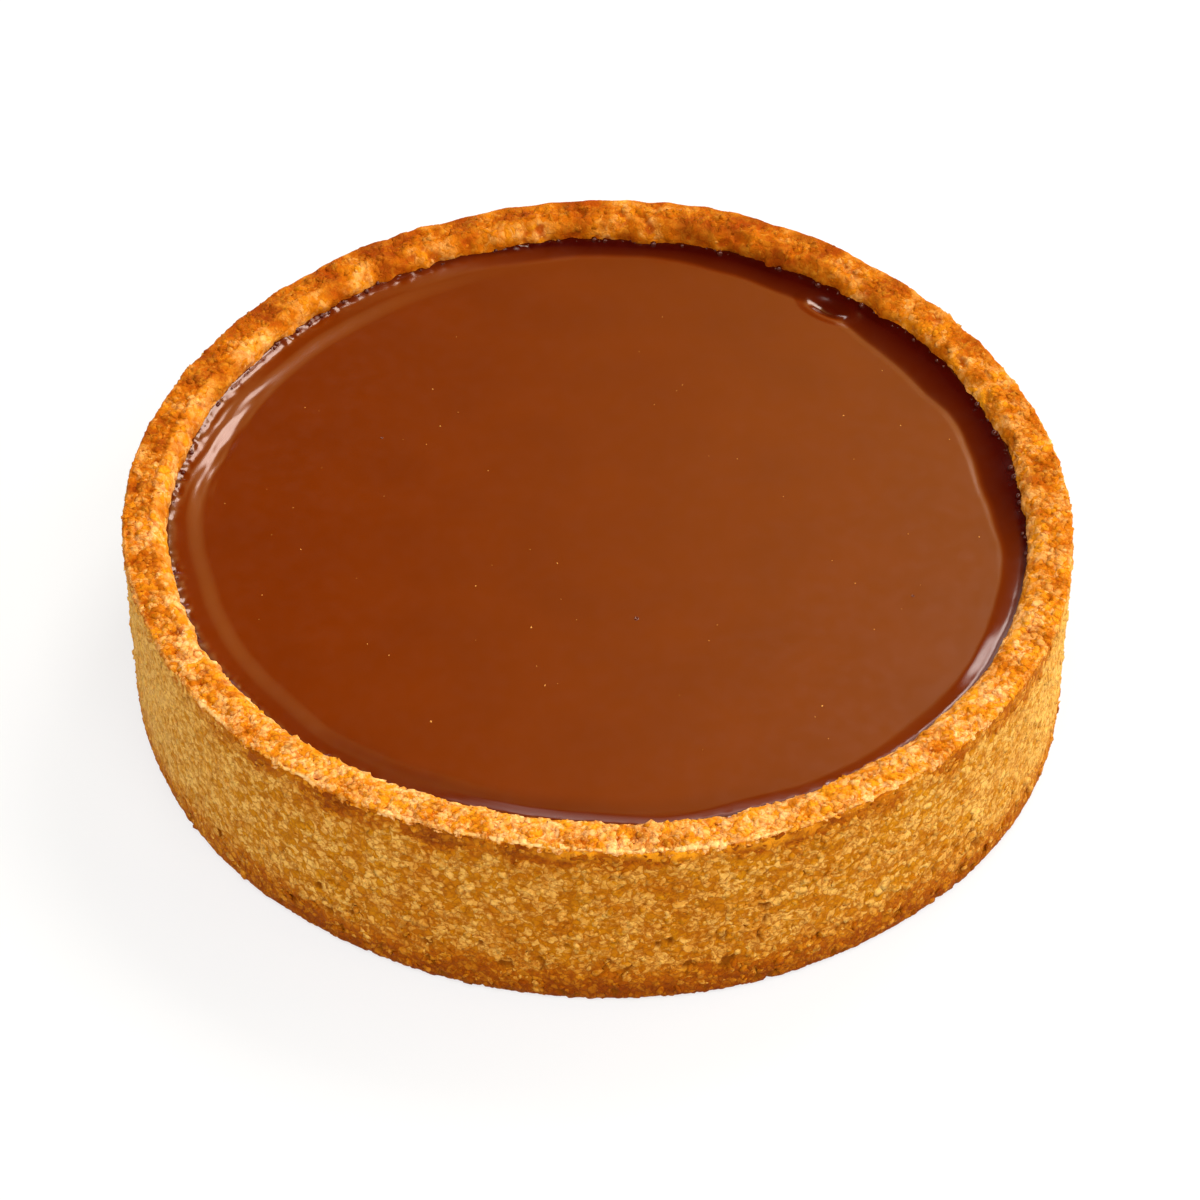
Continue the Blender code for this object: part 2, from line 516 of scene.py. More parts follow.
def wall_toast(points):
    """How dark and brown the wall is painted, from 0 to 1: most at its foot and in a band under the lip,
    least at the far sides.
    """
    angles = angles_of(points)
    height = points[:, 2]
    patches = rough_noise(points, 6 * MM, 91, 3)
    specks = rough_noise(points, 1.5 * MM, 93, 2)
    foot = step(6.5 * MM, 0.0, height + 2.0 * MM * patches + 1.0 * MM * specks)
    front = near_angle(angles, -85, 110)
    # The band under the lip is browning together with painted shade where the rim overhangs.
    band = step(16.6 * MM, 18.6 * MM, height + 1.2 * MM * patches + 0.8 * MM * specks) * (0.2 + 0.8 * front)
    # Less at the far left and right, where the painted sheen lightens the wall.
    base = 0.12 + 0.18 * front - 0.18 * painted_sheen_sides(angles)
    return np.clip(base + 0.18 * patches + 0.12 * specks + 0.75 * foot + (0.55 + 0.7 * patches) * band, 0, 1)


def rim_toast(points, angles, inset):
    """The same for the rim: most at the back, and on the left more on its flat than on its slope."""
    patches = rough_noise(points, 4 * MM, 95, 3)
    flat = step(3.2 * MM, 2.4 * MM, inset)
    back = near_angle(angles, 75, 100)
    left = near_angle(angles, 182, 58)
    right = near_angle(angles, 0, 60)
    back_left = near_angle(angles, 135, 50)
    base = 0.08 + 0.12 * flat + 0.47 * back + 0.15 * right + 0.38 * back_left
    base += 0.30 * near_angle(angles, 68, 20) * step(2.0 * MM, 3.0 * MM, inset)
    return np.clip(base + left * (0.14 + 0.20 * flat) + 0.75 * patches, 0, 1)


def lip_highlight(points, angles, inset, drop):
    """Where a painted highlight shows as a thin pale edge on the lip, at the front, from 0 to 1."""
    ragged = 0.15 * MM * rough_noise(points, 1.0 * MM, 97, 2)
    across = step(0.42 * MM, 0.12 * MM, inset + ragged) * step(0.34 * MM, 0.10 * MM, drop + ragged)
    return across * step(-0.4, 0.2, smooth_noise(points, 5 * MM, 99)) * near_angle(angles, -105, 85)


def paint(mesh, hollow, pale, toast_and_shade, lip, crumbly):
    """Store what the crust's material reads."""
    set_attribute(mesh, "hollow", hollow)
    set_attribute(mesh, "pale", pale)
    set_attribute(mesh, "toast_and_shade", toast_and_shade)
    set_attribute(mesh, "lip", lip)
    set_attribute(mesh, "crumbly", crumbly)


def build_wall(rings, material):
    mesh = turned_mesh("crust_wall", wall_rings(rings))
    points = mesh_points(mesh)
    normals = mesh_normals(mesh)
    relief, hollow, pale = wall_relief(points)
    angles = angles_of(points)
    radius = radius_of(points)
    shown = step(30 * MM, 40 * MM, radius) * (points[:, 2] > 0)
    inside = (radius < rings["inner"](angles) + MM) & (points[:, 2] > MM)
    broken = step(-0.4, 0.4, smooth_noise(points, 2.5 * MM, 101))
    # A golden patch under the lip at the front, painted lighter as painted light in place of the shade under
    # the rim.
    lit_gold = 0.9 * step(17.9 * MM, 18.8 * MM, points[:, 2]) * near_angle(angles, -80, 34) * broken
    points += normals * np.where(inside, 0, relief * shown)[:, None]
    points[:, 2] = np.maximum(points[:, 2], 0.0)
    # Less crumb contrast at the far left and right, washed out by the painted sheen.
    paint(mesh, hollow, pale, wall_toast(points), lit_gold, 1 - 0.5 * painted_sheen_sides(angles))
    move_points(mesh, points)
    finished_piece(mesh, material, SHELL)
    on_side = (radius > 43 * MM) & (points[:, 2] > 1.0 * MM) & (points[:, 2] < 19.4 * MM)
    return points[on_side], mesh_normals(mesh)[on_side]


def build_rim(rings, material):
    mesh = turned_mesh("crust_rim", rim_rings(rings), closed=True)
    points = mesh_points(mesh)
    normals = mesh_normals(mesh)
    angles = angles_of(points)
    inset = rings["rim"](angles) - radius_of(points)
    drop = rings["top"](angles) - points[:, 2]
    relief, hollow, pale, crumbly = rim_relief(points, inset)
    hidden = step(RIM_FALL + 0.3 * MM, RIM_FALL + 1.0 * MM, drop)
    points += normals * (relief * (1 - hidden))[:, None]
    # The lip's painted highlight, which also takes most of the toast off the edge.
    lip = lip_highlight(points, angles, inset, drop)
    paint(mesh, hollow, pale, rim_toast(points, angles, inset) * (1 - 0.8 * lip), lip, crumbly)
    move_points(mesh, points)
    finished_piece(mesh, material, SHELL)
    on_top = (drop < RIM_FALL - 0.1 * MM) & (inset > -0.2 * MM)
    return points[on_top], mesh_normals(mesh)[on_top]


# ------------------------------------------------------------------ flakes and crumbs on the crust

RIM_FLAKES = 7000
WALL_FLAKES = 9600
FLAKE_SEED = 20
FLAKE_JITTER = 0.28  # how far a flake's corners stray from a ball's
FLAKE_SPREAD = (0.26, 0.68)  # half its length and width, in flake sizes
FLAKE_THICKNESS = {"rim_flakes": 0.26, "wall_flakes": 0.14, "stray_crumbs": 0.3}  # half of it, likewise
FLAKE_TILT = {"rim_flakes": 0.22, "wall_flakes": 0.2, "stray_crumbs": 0.2}
FLAKE_CRUMBLY = 0.6


def ball_template():
    """The corners and faces of a ball of 20 triangles, of radius 1."""
    form = bmesh.new()
    bmesh.ops.create_icosphere(form, subdivisions=1, radius=1.0)
    form.verts.index_update()
    corners = np.array([tuple(corner.co) for corner in form.verts])
    faces = np.array([[corner.index for corner in face.verts] for face in form.faces])
    form.free()
    return corners, faces


def flake_mesh(name, spots, normals, sizes, random):
    """Small irregular flakes as one mesh, each lying askew on its spot, and how many corners each has."""
    corners, faces = ball_template()
    count = len(spots)
    up = normals + FLAKE_TILT[name] * random.normal(size=(count, 3))
    up /= np.linalg.norm(up, axis=1)[:, None]
    along = np.cross(up, random.normal(size=(count, 3)))
    along /= np.linalg.norm(along, axis=1)[:, None]
    across = np.cross(up, along)
    shape = corners * (1 + random.uniform(-FLAKE_JITTER, FLAKE_JITTER, (count, len(corners), 1)))
    spread = sizes[:, None] * random.uniform(*FLAKE_SPREAD, (count, 2))
    points = spots[:, None] + shape[:, :, :1] * (along * spread[:, :1])[:, None]
    points += shape[:, :, 1:2] * (across * spread[:, 1:])[:, None]
    points += shape[:, :, 2:] * (up * (sizes * FLAKE_THICKNESS[name])[:, None])[:, None]
    numbered = faces + len(corners) * np.arange(count)[:, None, None]
    mesh = bpy.data.meshes.new(name)
    mesh.from_pydata(points.reshape(-1, 3).tolist(), [], numbered.reshape(-1, 3).tolist())
    mesh.update()
    return mesh, len(corners)


def paint_flakes(mesh, corners, *values):
    """Store what the crust's material reads, from one value for each flake."""
    paint(mesh, *(np.repeat(value, corners) for value in values))


def build_rim_flakes(rings, surface, material):
    random = np.random.default_rng(FLAKE_SEED)
    points, normals = surface
    angles = angles_of(points)
    inset = rings["rim"](angles) - radius_of(points)
    slope = step(2.4 * MM, 3.2 * MM, inset)
    lip = lip_highlight(points, angles, inset, rings["top"](angles) - points[:, 2])
    likely = rim_crumbliness(angles, inset, slope) ** 3 * (1 - 0.9 * step(0.0, 0.3, lip))
    chosen = random.choice(len(points), RIM_FLAKES, replace=False, p=likely / likely.sum())
    angles = angles[chosen]
    inset = inset[chosen]
    inner = 0.5 + 0.5 * step(0.1 * MM, 1.0 * MM, inset) * step(4.4 * MM, 3.2 * MM, inset)
    sizes = (0.38 + 0.95 * random.uniform(0, 1, RIM_FLAKES) ** 2) * inner * MM
    spots = points[chosen] - normals[chosen] * (0.17 * sizes[:, None])
    mesh, corners = flake_mesh("rim_flakes", spots, normals[chosen], sizes, random)
    # Flakes on the lip share its painted highlight.
    lip = lip_highlight(spots, angles, inset, rings["top"](angles) - spots[:, 2])
    vary = 0.15 + 0.35 * near_angle(angles, -110, 150)
    toast_and_shade = rim_toast(spots, angles, inset) * (1 + vary * random.uniform(-1.3, 0.8, RIM_FLAKES))
    clumped = 0.5 + 0.9 * smooth_noise(spots, 1.5 * MM, 111) + random.uniform(-0.25, 0.25, RIM_FLAKES)
    pale = np.clip(clumped, 0, 1) * (0.2 + 0.8 * near_angle(angles, -90, 150))
    crumbly = np.full(RIM_FLAKES, FLAKE_CRUMBLY)
    paint_flakes(mesh, corners, np.zeros(RIM_FLAKES), pale, np.clip(toast_and_shade * (1 - lip), 0, 1), lip, crumbly)
    finished_piece(mesh, material, SHELL)


def build_wall_flakes(surface, material):
    random = np.random.default_rng(FLAKE_SEED + 1)
    points, normals = surface
    chosen = random.choice(len(points), WALL_FLAKES, replace=False)
    sizes = (0.46 + 0.85 * random.uniform(0, 1, WALL_FLAKES) ** 2) * MM
    spots = points[chosen] - normals[chosen] * (0.08 * sizes[:, None])
    mesh, corners = flake_mesh("wall_flakes", spots, normals[chosen], sizes, random)
    toast_and_shade = np.clip(wall_toast(spots) * random.uniform(0.4, 1.2, WALL_FLAKES), 0, 1)
    none = np.zeros(WALL_FLAKES)
    sides = painted_sheen_sides(angles_of(spots))
    # Flakes at the far left and right are paled, and their crumbs evened, by the same painted sheen as the
    # wall.
    pale = random.uniform(0.3, 1.1, WALL_FLAKES) + 0.7 * sides - 0.8 * step(0.4, 0.9, toast_and_shade)
    paint_flakes(mesh, corners, none, pale, toast_and_shade, none, FLAKE_CRUMBLY - 0.3 * sides)
    finished_piece(mesh, material, SHELL)


# ------------------------------------------------------------------ the chocolate

CHOCOLATE_TURN = 1536
REACH = 0.6 * MM  # how far the chocolate goes into the crust
FILL_LEVEL = 17.6 * MM
CONTACT = 18.55 * MM
EDGE_STEP = 0.14 * MM
EDGE_ROWS = 48
MIDDLE_ROWS = 34
FILL_BOTTOM = 5.0 * MM
# The chocolate's hidden rings, each with fewer points than CHOCOLATE_TURN by the given number of halvings.
BOTTOM_RINGS = ((14, 5), (28, 4))  # radius in mm
SIDE_RINGS = ((2.6, 5, 3), (0.8, 7, 2), (0.8, 15, 1), (0.3, 17, 0))  # how far inside the edge, height, in mm


def chocolate_rings(rings):
    """The top from its edge to the middle, then a plain side and underside that the crust hides."""
    edge = lambda a: inner_edge(rings, a) + REACH
    rows = []
    for radius, halvings in BOTTOM_RINGS:
        rows.append(ring(radius * MM, FILL_BOTTOM, CHOCOLATE_TURN // 2**halvings))
    for inside, height, halvings in SIDE_RINGS:
        radius = lambda a, i=inside: edge(a) - i * MM
        rows.append(ring(radius, height * MM, CHOCOLATE_TURN // 2**halvings))
    for number in range(EDGE_ROWS):
        rows.append(ring(lambda a, d=number * EDGE_STEP: edge(a) - d, FILL_LEVEL, CHOCOLATE_TURN))
    edge_band = EDGE_ROWS * EDGE_STEP
    for number in range(1, MIDDLE_ROWS):
        share = 1 - number / MIDDLE_ROWS
        halvings = int(np.clip(1 + math.floor(-math.log2(share)), 1, 6))
        radius = lambda a, s=share: (edge(a) - edge_band) * s
        rows.append(ring(radius, FILL_LEVEL, CHOCOLATE_TURN // 2**halvings))
    return rows


def shelf_share(angles):
    """1 on the left, where the chocolate has set in a low shelf beside the wall, and 0 on the right."""
    return step(0.1, 0.6, near_angle(angles, 190, 122))


def bowl_width(angles):
    """How far from the wall the chocolate starts to climb where it has no shelf."""
    return (2.1 + 1.4 * near_angle(angles, 33, 62)) * MM


def streaks(distance, angles):
    """Uneven ridges along the wall, from about -1 to 1."""
    turned = np.degrees(angles) % 360
    unrolled = np.stack([distance / (0.8 * MM), turned / 6.0 + distance / (2.5 * MM), turned * 0], 1)
    return smooth_noise(unrolled, 1.0, 211)


def chocolate_height(points, distance, angles):
    """How far the chocolate stands above its level; distance is from the wall."""
    around = around_edge(angles)
    wander = smooth_noise(around, 9 * MM, 201)
    shelf = shelf_share(angles)
    streaked = near_angle(angles, 163, 20)
    shelf_rise = (0.20 + 0.10 * streaked + 0.05 * near_angle(angles, 140, 25) + 0.05 * wander) * MM
    nearer = 0.5 * MM * near_angle(angles, 175, 35)
    rising = shelf_rise * step(3.9 * MM, 1.9 * MM, distance + nearer + 0.3 * MM * wander)
    rising += 0.30 * MM * streaked * step(2.6 * MM, 0.6 * MM, distance)
    ridged = streaked * step(0.2 * MM, 0.8 * MM, distance) * step(4.4 * MM, 3.0 * MM, distance)
    ridges = 0.085 * MM * streaks(distance, angles) * ridged
    width = bowl_width(angles) * (1 + 0.2 * wander)
    share = np.clip(1 - distance / width, 0, 1)
    bowl = (CONTACT - FILL_LEVEL - 0.3 * MM) * (1 + 0.2 * wander) * share**1.35
    moat = 0.10 * MM * near_angle(angles, 30, 50) * step(width + 0.5 * MM, width - 0.3 * MM, distance)
    away = np.clip(1 - distance / (0.9 * MM), 0, 1)
    dull = np.maximum(near_angle(angles, 85, 65), 0.85 * near_angle(angles, 10, 60))
    dull = np.maximum(dull, 0.6 * near_angle(angles, 190, 50))
    contact = 0.36 * MM * away**2 * (1 - dull)
    lively = step(-0.3, 0.5, smooth_noise(around, 6 * MM, 213))
    beads = smooth_noise(points, 1.1 * MM, 205) + 0.5 * smooth_noise(points, 0.6 * MM, 215)
    beads *= step(1.3 * MM, 0.2 * MM, distance) * (0.3 + 0.7 * lively) * (1 - near_angle(angles, -20, 50))
    slow = smooth_noise(points, 16 * MM, 207) + 0.5 * smooth_noise(points, 7 * MM, 209)
    front = near_angle(angles, -98, 28)
    bowl *= (1 - front) * (1 - 0.5 * near_angle(angles, -42, 42))
    bank = 0.47 * MM * front * np.clip((2.3 * MM - distance) / (1.5 * MM), 0, 1) ** 1.25
    lens = 0.20 * MM * near_angle(angles, -29, 9) * step(2.3 * MM, 0.7 * MM, distance)
    rise = shelf * (rising + ridges) + (1 - shelf) * (bowl - moat) + contact * (1 - front) + bank + lens
    return rise + 0.13 * MM * beads + 0.010 * MM * slow + bubble_mark(points)


BUBBLE_ANGLE = 53.0
BUBBLE_RADIUS = 38.3 * MM
BUBBLE_SIZE = 1.5 * MM


def from_bubble(points):
    """Distance from the popped bubble at the back, 1 on its ring."""
    turn = math.radians(BUBBLE_ANGLE)
    along = points[:, 0] * math.cos(turn) + points[:, 1] * math.sin(turn) - BUBBLE_RADIUS
    across = points[:, 1] * math.cos(turn) - points[:, 0] * math.sin(turn)
    return np.hypot(along, across / 1.9) / BUBBLE_SIZE


def bubble_mark(points):
    """How far the bubble's raised ring and its pit stand above the chocolate."""
    apart = from_bubble(points)
    return MM * (0.09 * step(0.45, 0.0, np.abs(apart - 1.0)) - 0.30 * step(0.9, 0.2, apart))


def painted_shadow_by_wall(distance, angles):
    """How much painted shade darkens the chocolate by the wall, from 0 to 1.

    All painted shade: a crisp band at the right and back for the rim's shadow, a soft one at the front, a
    line all round.
    """
    wander = smooth_noise(around_edge(angles), 9 * MM, 201)
    width = (1.8 + 1.6 * near_angle(angles, 33, 62)) * MM * (1 + 0.2 * wander)
    here = step(0.0, 0.45, near_angle(angles, 48, 78))
    crisp = 0.65 * step(width * 1.08, width * 0.80, distance)
    band = (crisp + 0.35 * step(width, 0.3 * MM, distance)) * here
    line = step(0.9 * MM, 0.0, distance)
    soft = step(4.6 * MM, 2.4 * MM, distance) * near_angle(angles, -108, 55)
    return np.clip(band + 0.6 * line + 0.4 * soft, 0, 1)


def build_chocolate(rings, material):
    mesh = turned_mesh("chocolate", chocolate_rings(rings))
    points = mesh_points(mesh)
    angles = angles_of(points)
    distance = wavy_edge(rings, angles) - radius_of(points)
    on_top = points[:, 2] > FILL_LEVEL - 0.1 * MM
    points[:, 2] += np.where(on_top, chocolate_height(points, np.maximum(distance, 0), angles), 0)
    # The wall attribute carries the painted shade by the wall and painted shade in the popped bubble's pit.
    bubble_pit_shade = step(1.0, 0.4, from_bubble(points))
    set_attribute(mesh, "wall", np.maximum(painted_shadow_by_wall(distance, angles), 0.9 * bubble_pit_shade))
    move_points(mesh, points)
    finished_piece(mesh, material, FILLING)


# ------------------------------------------------------------------ small things on the chocolate

STRAY_CRUMBS = 60
CRUMBS_WITHIN = 36 * MM
EDGE_BEADS = 110
BEADS_FROM, BEADS_TO = -12, 205
BURST_BUBBLES = ((-76, 14.0, 0.24), (-20, 31.0, 0.16), (152, 24.0, 0.15))  # angle, radius, size in mm
BUBBLE_HEIGHT = 0.35  # in bubble sizes
BUBBLE_DIP = 0.55  # how far out its dipped middle reaches, in bubble sizes


def build_stray_crumbs(material):
    """Tiny crumbs lying on the chocolate."""
    random = np.random.default_rng(FLAKE_SEED + 2)
    angles = random.uniform(0, math.tau, STRAY_CRUMBS)
    radius = CRUMBS_WITHIN * np.sqrt(random.uniform(0, 1, STRAY_CRUMBS))
    level = np.full(STRAY_CRUMBS, FILL_LEVEL + 0.01 * MM)
    spots = np.stack([radius * np.cos(angles), radius * np.sin(angles), level], 1)
    up = np.tile([0, 0, 1.0], (STRAY_CRUMBS, 1))
    sizes = (0.09 + 0.12 * random.uniform(0, 1, STRAY_CRUMBS) ** 3) * MM
    mesh, corners = flake_mesh("stray_crumbs", spots, up, sizes, random)
    none = np.zeros(STRAY_CRUMBS * corners)
    paint(mesh, none, none + 0.6, none + 0.2, none, none)
    finished_piece(mesh, material, SHELL)


def finished_drops(form, name, shade, material):
    """Small shapes of chocolate as one piece; shade is how much painted shade darkens them."""
    mesh = bpy.data.meshes.new(name)
    form.to_mesh(mesh)
    form.free()
    set_attribute(mesh, "wall", np.full(len(mesh.vertices), shade))
    finished_piece(mesh, material, FILLING)


def build_edge_beads(rings, material):
    """Round beads where the chocolate meets the crust, from the right round the back to the left."""
    random = np.random.default_rng(FLAKE_SEED + 3)
    angles = np.radians(random.uniform(BEADS_FROM, BEADS_TO, EDGE_BEADS))
    sizes = (0.08 + 0.28 * random.uniform(0, 1, EDGE_BEADS) ** 3) * MM
    radius = inner_edge(rings, angles) - random.uniform(0.0, 0.3, EDGE_BEADS) * MM
    level = np.full(EDGE_BEADS, FILL_LEVEL)
    spots = np.stack([radius * np.cos(angles), radius * np.sin(angles), level], 1)
    distance = np.maximum(wavy_edge(rings, angles) - radius, 0)
    spots[:, 2] += chocolate_height(spots, distance, angles)
    form = bmesh.new()
    for spot, size in zip(spots, sizes):
        ball = bmesh.ops.create_icosphere(form, subdivisions=2, radius=float(size))["verts"]
        for corner in ball:
            corner.co += Vector(spot)
    # Dark with painted shade, like the chocolate's edge by the wall.
    finished_drops(form, "edge_beads", 0.8, material)


def build_burst_bubbles(material):
    """The low rings that burst air bubbles left in the chocolate."""
    form = bmesh.new()
    for angle, radius, size in BURST_BUBBLES:
        turn = math.radians(angle)
        middle = Vector((radius * math.cos(turn) * MM, radius * math.sin(turn) * MM, FILL_LEVEL))
        ball = bmesh.ops.create_uvsphere(form, u_segments=32, v_segments=24, radius=1.0)["verts"]
        for corner in ball:
            out = Vector((corner.co.x, corner.co.y, 0))
            dip = 1 - math.exp(-((out.length / BUBBLE_DIP) ** 2))
            corner.co.z *= BUBBLE_HEIGHT * dip
            corner.co = middle + corner.co * size * MM
    # Darkened halfway with painted shade.
    finished_drops(form, "burst_bubbles", 0.5, material)


# ------------------------------------------------------------------ materials


class Nodes:
    """A material's or world's node tree. Each method adds a node and returns the socket that it makes."""

    def __init__(self, owner, shader, coordinates):
        owner.use_nodes = True
        self.owner = owner
        self.tree = owner.node_tree
        self.shader = self.tree.nodes[shader]
        self.place = self.add("ShaderNodeTexCoord").outputs[coordinates]

    def add(self, kind, inputs=None, **settings):
        made = self.tree.nodes.new(kind)
        for key, value in settings.items():
            setattr(made, key, value)
        for key, value in (inputs or {}).items():
            self.put(made.inputs[key], value)
        return made

    def put(self, socket, value):
        if isinstance(value, bpy.types.NodeSocket):
            self.tree.links.new(value, socket)
        else:
            socket.default_value = value

    def attribute(self, name):
        return self.add("ShaderNodeAttribute", attribute_name=name).outputs["Fac"]

    def noise(self, size, detail=2.0):
        inputs = {"Vector": self.place, "Scale": 1 / size, "Detail": detail}
        return self.add("ShaderNodeTexNoise", inputs).outputs["Fac"]

    def pushed(self, size, amount):
        """The place, pushed about by up to half this amount, in swirls of this size."""
        inputs = {"Vector": self.place, "Scale": 1 / size, "Detail": 3.0}
        swirls = self.add("ShaderNodeTexNoise", inputs).outputs["Color"]
        centred = self.add("ShaderNodeVectorMath", {0: swirls, 1: (0.5, 0.5, 0.5)}, operation="SUBTRACT")
        inputs = {0: centred.outputs[0], 1: (amount, amount, amount), 2: self.place}
        return self.add("ShaderNodeVectorMath", inputs, operation="MULTIPLY_ADD").outputs[0]

    def cells(self, place, size, output="Distance", feature="F1"):
        inputs = {"Vector": place, "Scale": 1 / size}
        return self.add("ShaderNodeTexVoronoi", inputs, feature=feature).outputs[output]

    def math(self, operation, first, second=0.0, clamp=False):
        inputs = {0: first, 1: second}
        return self.add("ShaderNodeMath", inputs, operation=operation, use_clamp=clamp).outputs[0]

    def spread(self, value, low, high, new_low=0.0, new_high=1.0):
        inputs = {0: value, 1: low, 2: high, 3: new_low, 4: new_high}
        return self.add("ShaderNodeMapRange", inputs, clamp=True).outputs[0]

    def mix(self, share, first, second, blend="MIX"):
        inputs = {0: share, 6: first, 7: second}
        return self.add("ShaderNodeMix", inputs, data_type="RGBA", blend_type=blend).outputs[2]

    def bump(self, height, distance, strength):
        inputs = {"Height": height, "Distance": distance, "Strength": strength}
        return self.add("ShaderNodeBump", inputs).outputs[0]

    def finish(self, inputs):
        for key, value in inputs.items():
            self.put(self.shader.inputs[key], value)
        return self.owner


def material_nodes(name):
    return Nodes(bpy.data.materials.new(name), "Principled BSDF", "Object")


# In both sets gap is darker dough with painted shade in the dips, hole is painted shade in the hollows, the
# darkest browning also carries painted shade under the lip, and lip is painted light: the rim's highlight,
# the wall's lighter golden patch.
WALL_COLOURS = {
    "dough": (0.56, 0.206, 0.002, 1),
    "grain": (0.82, 0.45, 0.098, 1),
    "gap": (0.37, 0.108, 0.0005, 1),
    "toasted": (0.73, 0.47, 0.07, 1),
    "burnt_and_shaded": (0.62, 0.48, 0.30, 1),
    "hole": (0.24, 0.060, 0.0005, 1),
    "lip": (0.96, 0.35, 0.01, 1),
}
RIM_COLOURS = {
    "dough": (0.80, 0.290, 0.008, 1),
    "grain": (0.97, 0.54, 0.20, 1),
    "gap": (0.60, 0.14, 0.0004, 1),
    "toasted": (0.62, 0.41, 0.06, 1),
    "burnt_and_shaded": (0.58, 0.38, 0.20, 1),
    "hole": (0.38, 0.060, 0.0004, 1),
    "lip": (1.0, 0.66, 0.24, 1),
}
CRUST_DEPTH = {
    "Subsurface Weight": 0.08,
    "Subsurface Radius": (1.0, 0.4, 0.1),
    "Subsurface Scale": 0.4 * MM,
}
CELL_SIZE = 0.8 * MM
CELL_PUSH = 1.3 * MM  # turns the cells' straight edges into ragged ones
CRUMB_SIZE = 0.55 * MM


def crust_material(name, colours):
    """Baked crumbs: pale grains with warm gaps between them, browned by the toast_and_shade attribute; gaps,
    dips and hollows carry painted shade and the lip painted light.
    """
    nodes = material_nodes(name)
    toast_and_shade = nodes.attribute("toast_and_shade")
    hollow = nodes.attribute("hollow")
    pale = nodes.attribute("pale")
    lip = nodes.attribute("lip")
    crumbly = nodes.attribute("crumbly")
    place = nodes.pushed(CELL_SIZE, CELL_PUSH)
    own = nodes.cells(place, CELL_SIZE, "Color")
    edge = nodes.cells(place, CELL_SIZE, feature="DISTANCE_TO_EDGE")
    crumb = nodes.noise(CRUMB_SIZE, 4.0)
    patches = nodes.noise(3 * MM, 3.0)
    from_cells = nodes.math("MULTIPLY", nodes.spread(own, 0.25, 0.75, -0.65, 0.65), crumbly)
    fine = nodes.math("MULTIPLY", nodes.spread(crumb, 0.32, 0.68, -0.5, 0.5), crumbly)
    from_mesh = nodes.spread(pale, 0.0, 2.0, 0.10, 1.20)
    share = nodes.math("ADD", nodes.math("ADD", from_cells, fine), from_mesh, clamp=True)
    dough = nodes.mix(share, colours["dough"], colours["grain"])
    uneven = nodes.math("ADD", toast_and_shade, nodes.spread(patches, 0.3, 0.7, -0.15, 0.15), clamp=True)
    # Painted shade and darker dough in the gaps between grains and in the dips between crumbs.
    edges = nodes.spread(edge, 0.12, 0.0, 0.0, 0.8)
    dips = nodes.spread(crumb, 0.48, 0.34, 0.0, 0.8)
    gap_share = nodes.math("MULTIPLY", nodes.math("MAXIMUM", edges, dips), crumbly)
    gaps = nodes.mix(gap_share, dough, colours["gap"])
    toasted = nodes.mix(nodes.spread(uneven, 0.1, 0.6), gaps, colours["toasted"], "MULTIPLY")
    burnt_and_shaded = nodes.mix(nodes.spread(uneven, 0.6, 1.0), toasted, colours["burnt_and_shaded"], "MULTIPLY")
    # The lip attribute paints a highlight on the rim's edge and a lighter golden patch on the wall under it.
    edged = nodes.mix(lip, burnt_and_shaded, colours["lip"])
    # Painted shade in the hollows.
    holed = nodes.mix(hollow, edged, colours["hole"])
    height = nodes.math("ADD", nodes.spread(edge, 0.0, 0.2, 0.0, 0.6), crumb)
    bump = nodes.bump(height, 0.14 * MM, 0.6)
    looks = {"Base Color": holed, "Roughness": 0.7, "IOR": 1.12, "Normal": bump}
    return nodes.finish(looks | CRUST_DEPTH)


CHOCOLATE = (0.154, 0.0200, 0.0002, 1)
# The colour of the painted shade by the wall, also used for the chocolate's own darker clouds.
CHOCOLATE_DARK_AND_SHADOW = (0.046, 0.0016, 0.0002, 1)
GLOSS_TINT = (1.0, 0.8, 0.72, 1)


def chocolate_material():
    nodes = material_nodes("set_chocolate")
    wall = nodes.attribute("wall")
    clouds = nodes.noise(9 * MM, 2.0)
    streaks = nodes.noise(1.5 * MM, 2.0)
    # The wall attribute paints the rim's shadow and the dark contact line; the clouds below are the
    # chocolate's own uneven tone.
    colour = nodes.mix(wall, CHOCOLATE, CHOCOLATE_DARK_AND_SHADOW)
    colour = nodes.mix(nodes.spread(clouds, 0.3, 0.7, 0.0, 0.12), colour, CHOCOLATE_DARK_AND_SHADOW)
    rough = nodes.spread(streaks, 0.3, 0.7, 0.14, 0.19)
    return nodes.finish({"Base Color": colour, "Roughness": rough, "Specular Tint": GLOSS_TINT})


# ------------------------------------------------------------------ floor, light and camera

FLOOR_SIZE = 6.0
FLOOR_COLOUR = (0.22, 0.22, 0.22, 1)
FLOOR_GLOW = 0.70  # a light table
AIM_HEIGHT = 6.6 * MM
LENS = 117.0
SENSOR = 36.0
CAMERA_RISE = math.radians(44.64)
CAMERA_AWAY = 0.3784


def direction(azimuth, rise):
    """The way towards a light: its azimuth in degrees clockwise from the back, and its rise in degrees."""
    turn, up = math.radians(azimuth), math.radians(rise)
    return Vector((math.sin(turn) * math.cos(up), math.cos(turn) * math.cos(up), math.sin(up)))


WARM = (1.0, 0.96, 0.88)
NEUTRAL = (1, 1, 1)
# Each softbox's name, azimuth, rise, distance, width, height, radiance and colour.
LIGHTS = (
    ("softbox", 33, 50, 1.0, 0.36, 0.34, 11.0, NEUTRAL),
    ("key", 74, 40, 1.1, 0.45, 0.45, 6.0, WARM),
    ("overhead", 180, 62, 1.0, 1.0, 0.6, 5.2, NEUTRAL),
    ("right_fill", 102, 22, 1.2, 0.5, 0.5, 7.0, WARM),
    ("back_strip", -14, 25, 1.2, 0.24, 0.22, 7.0, NEUTRAL),
)


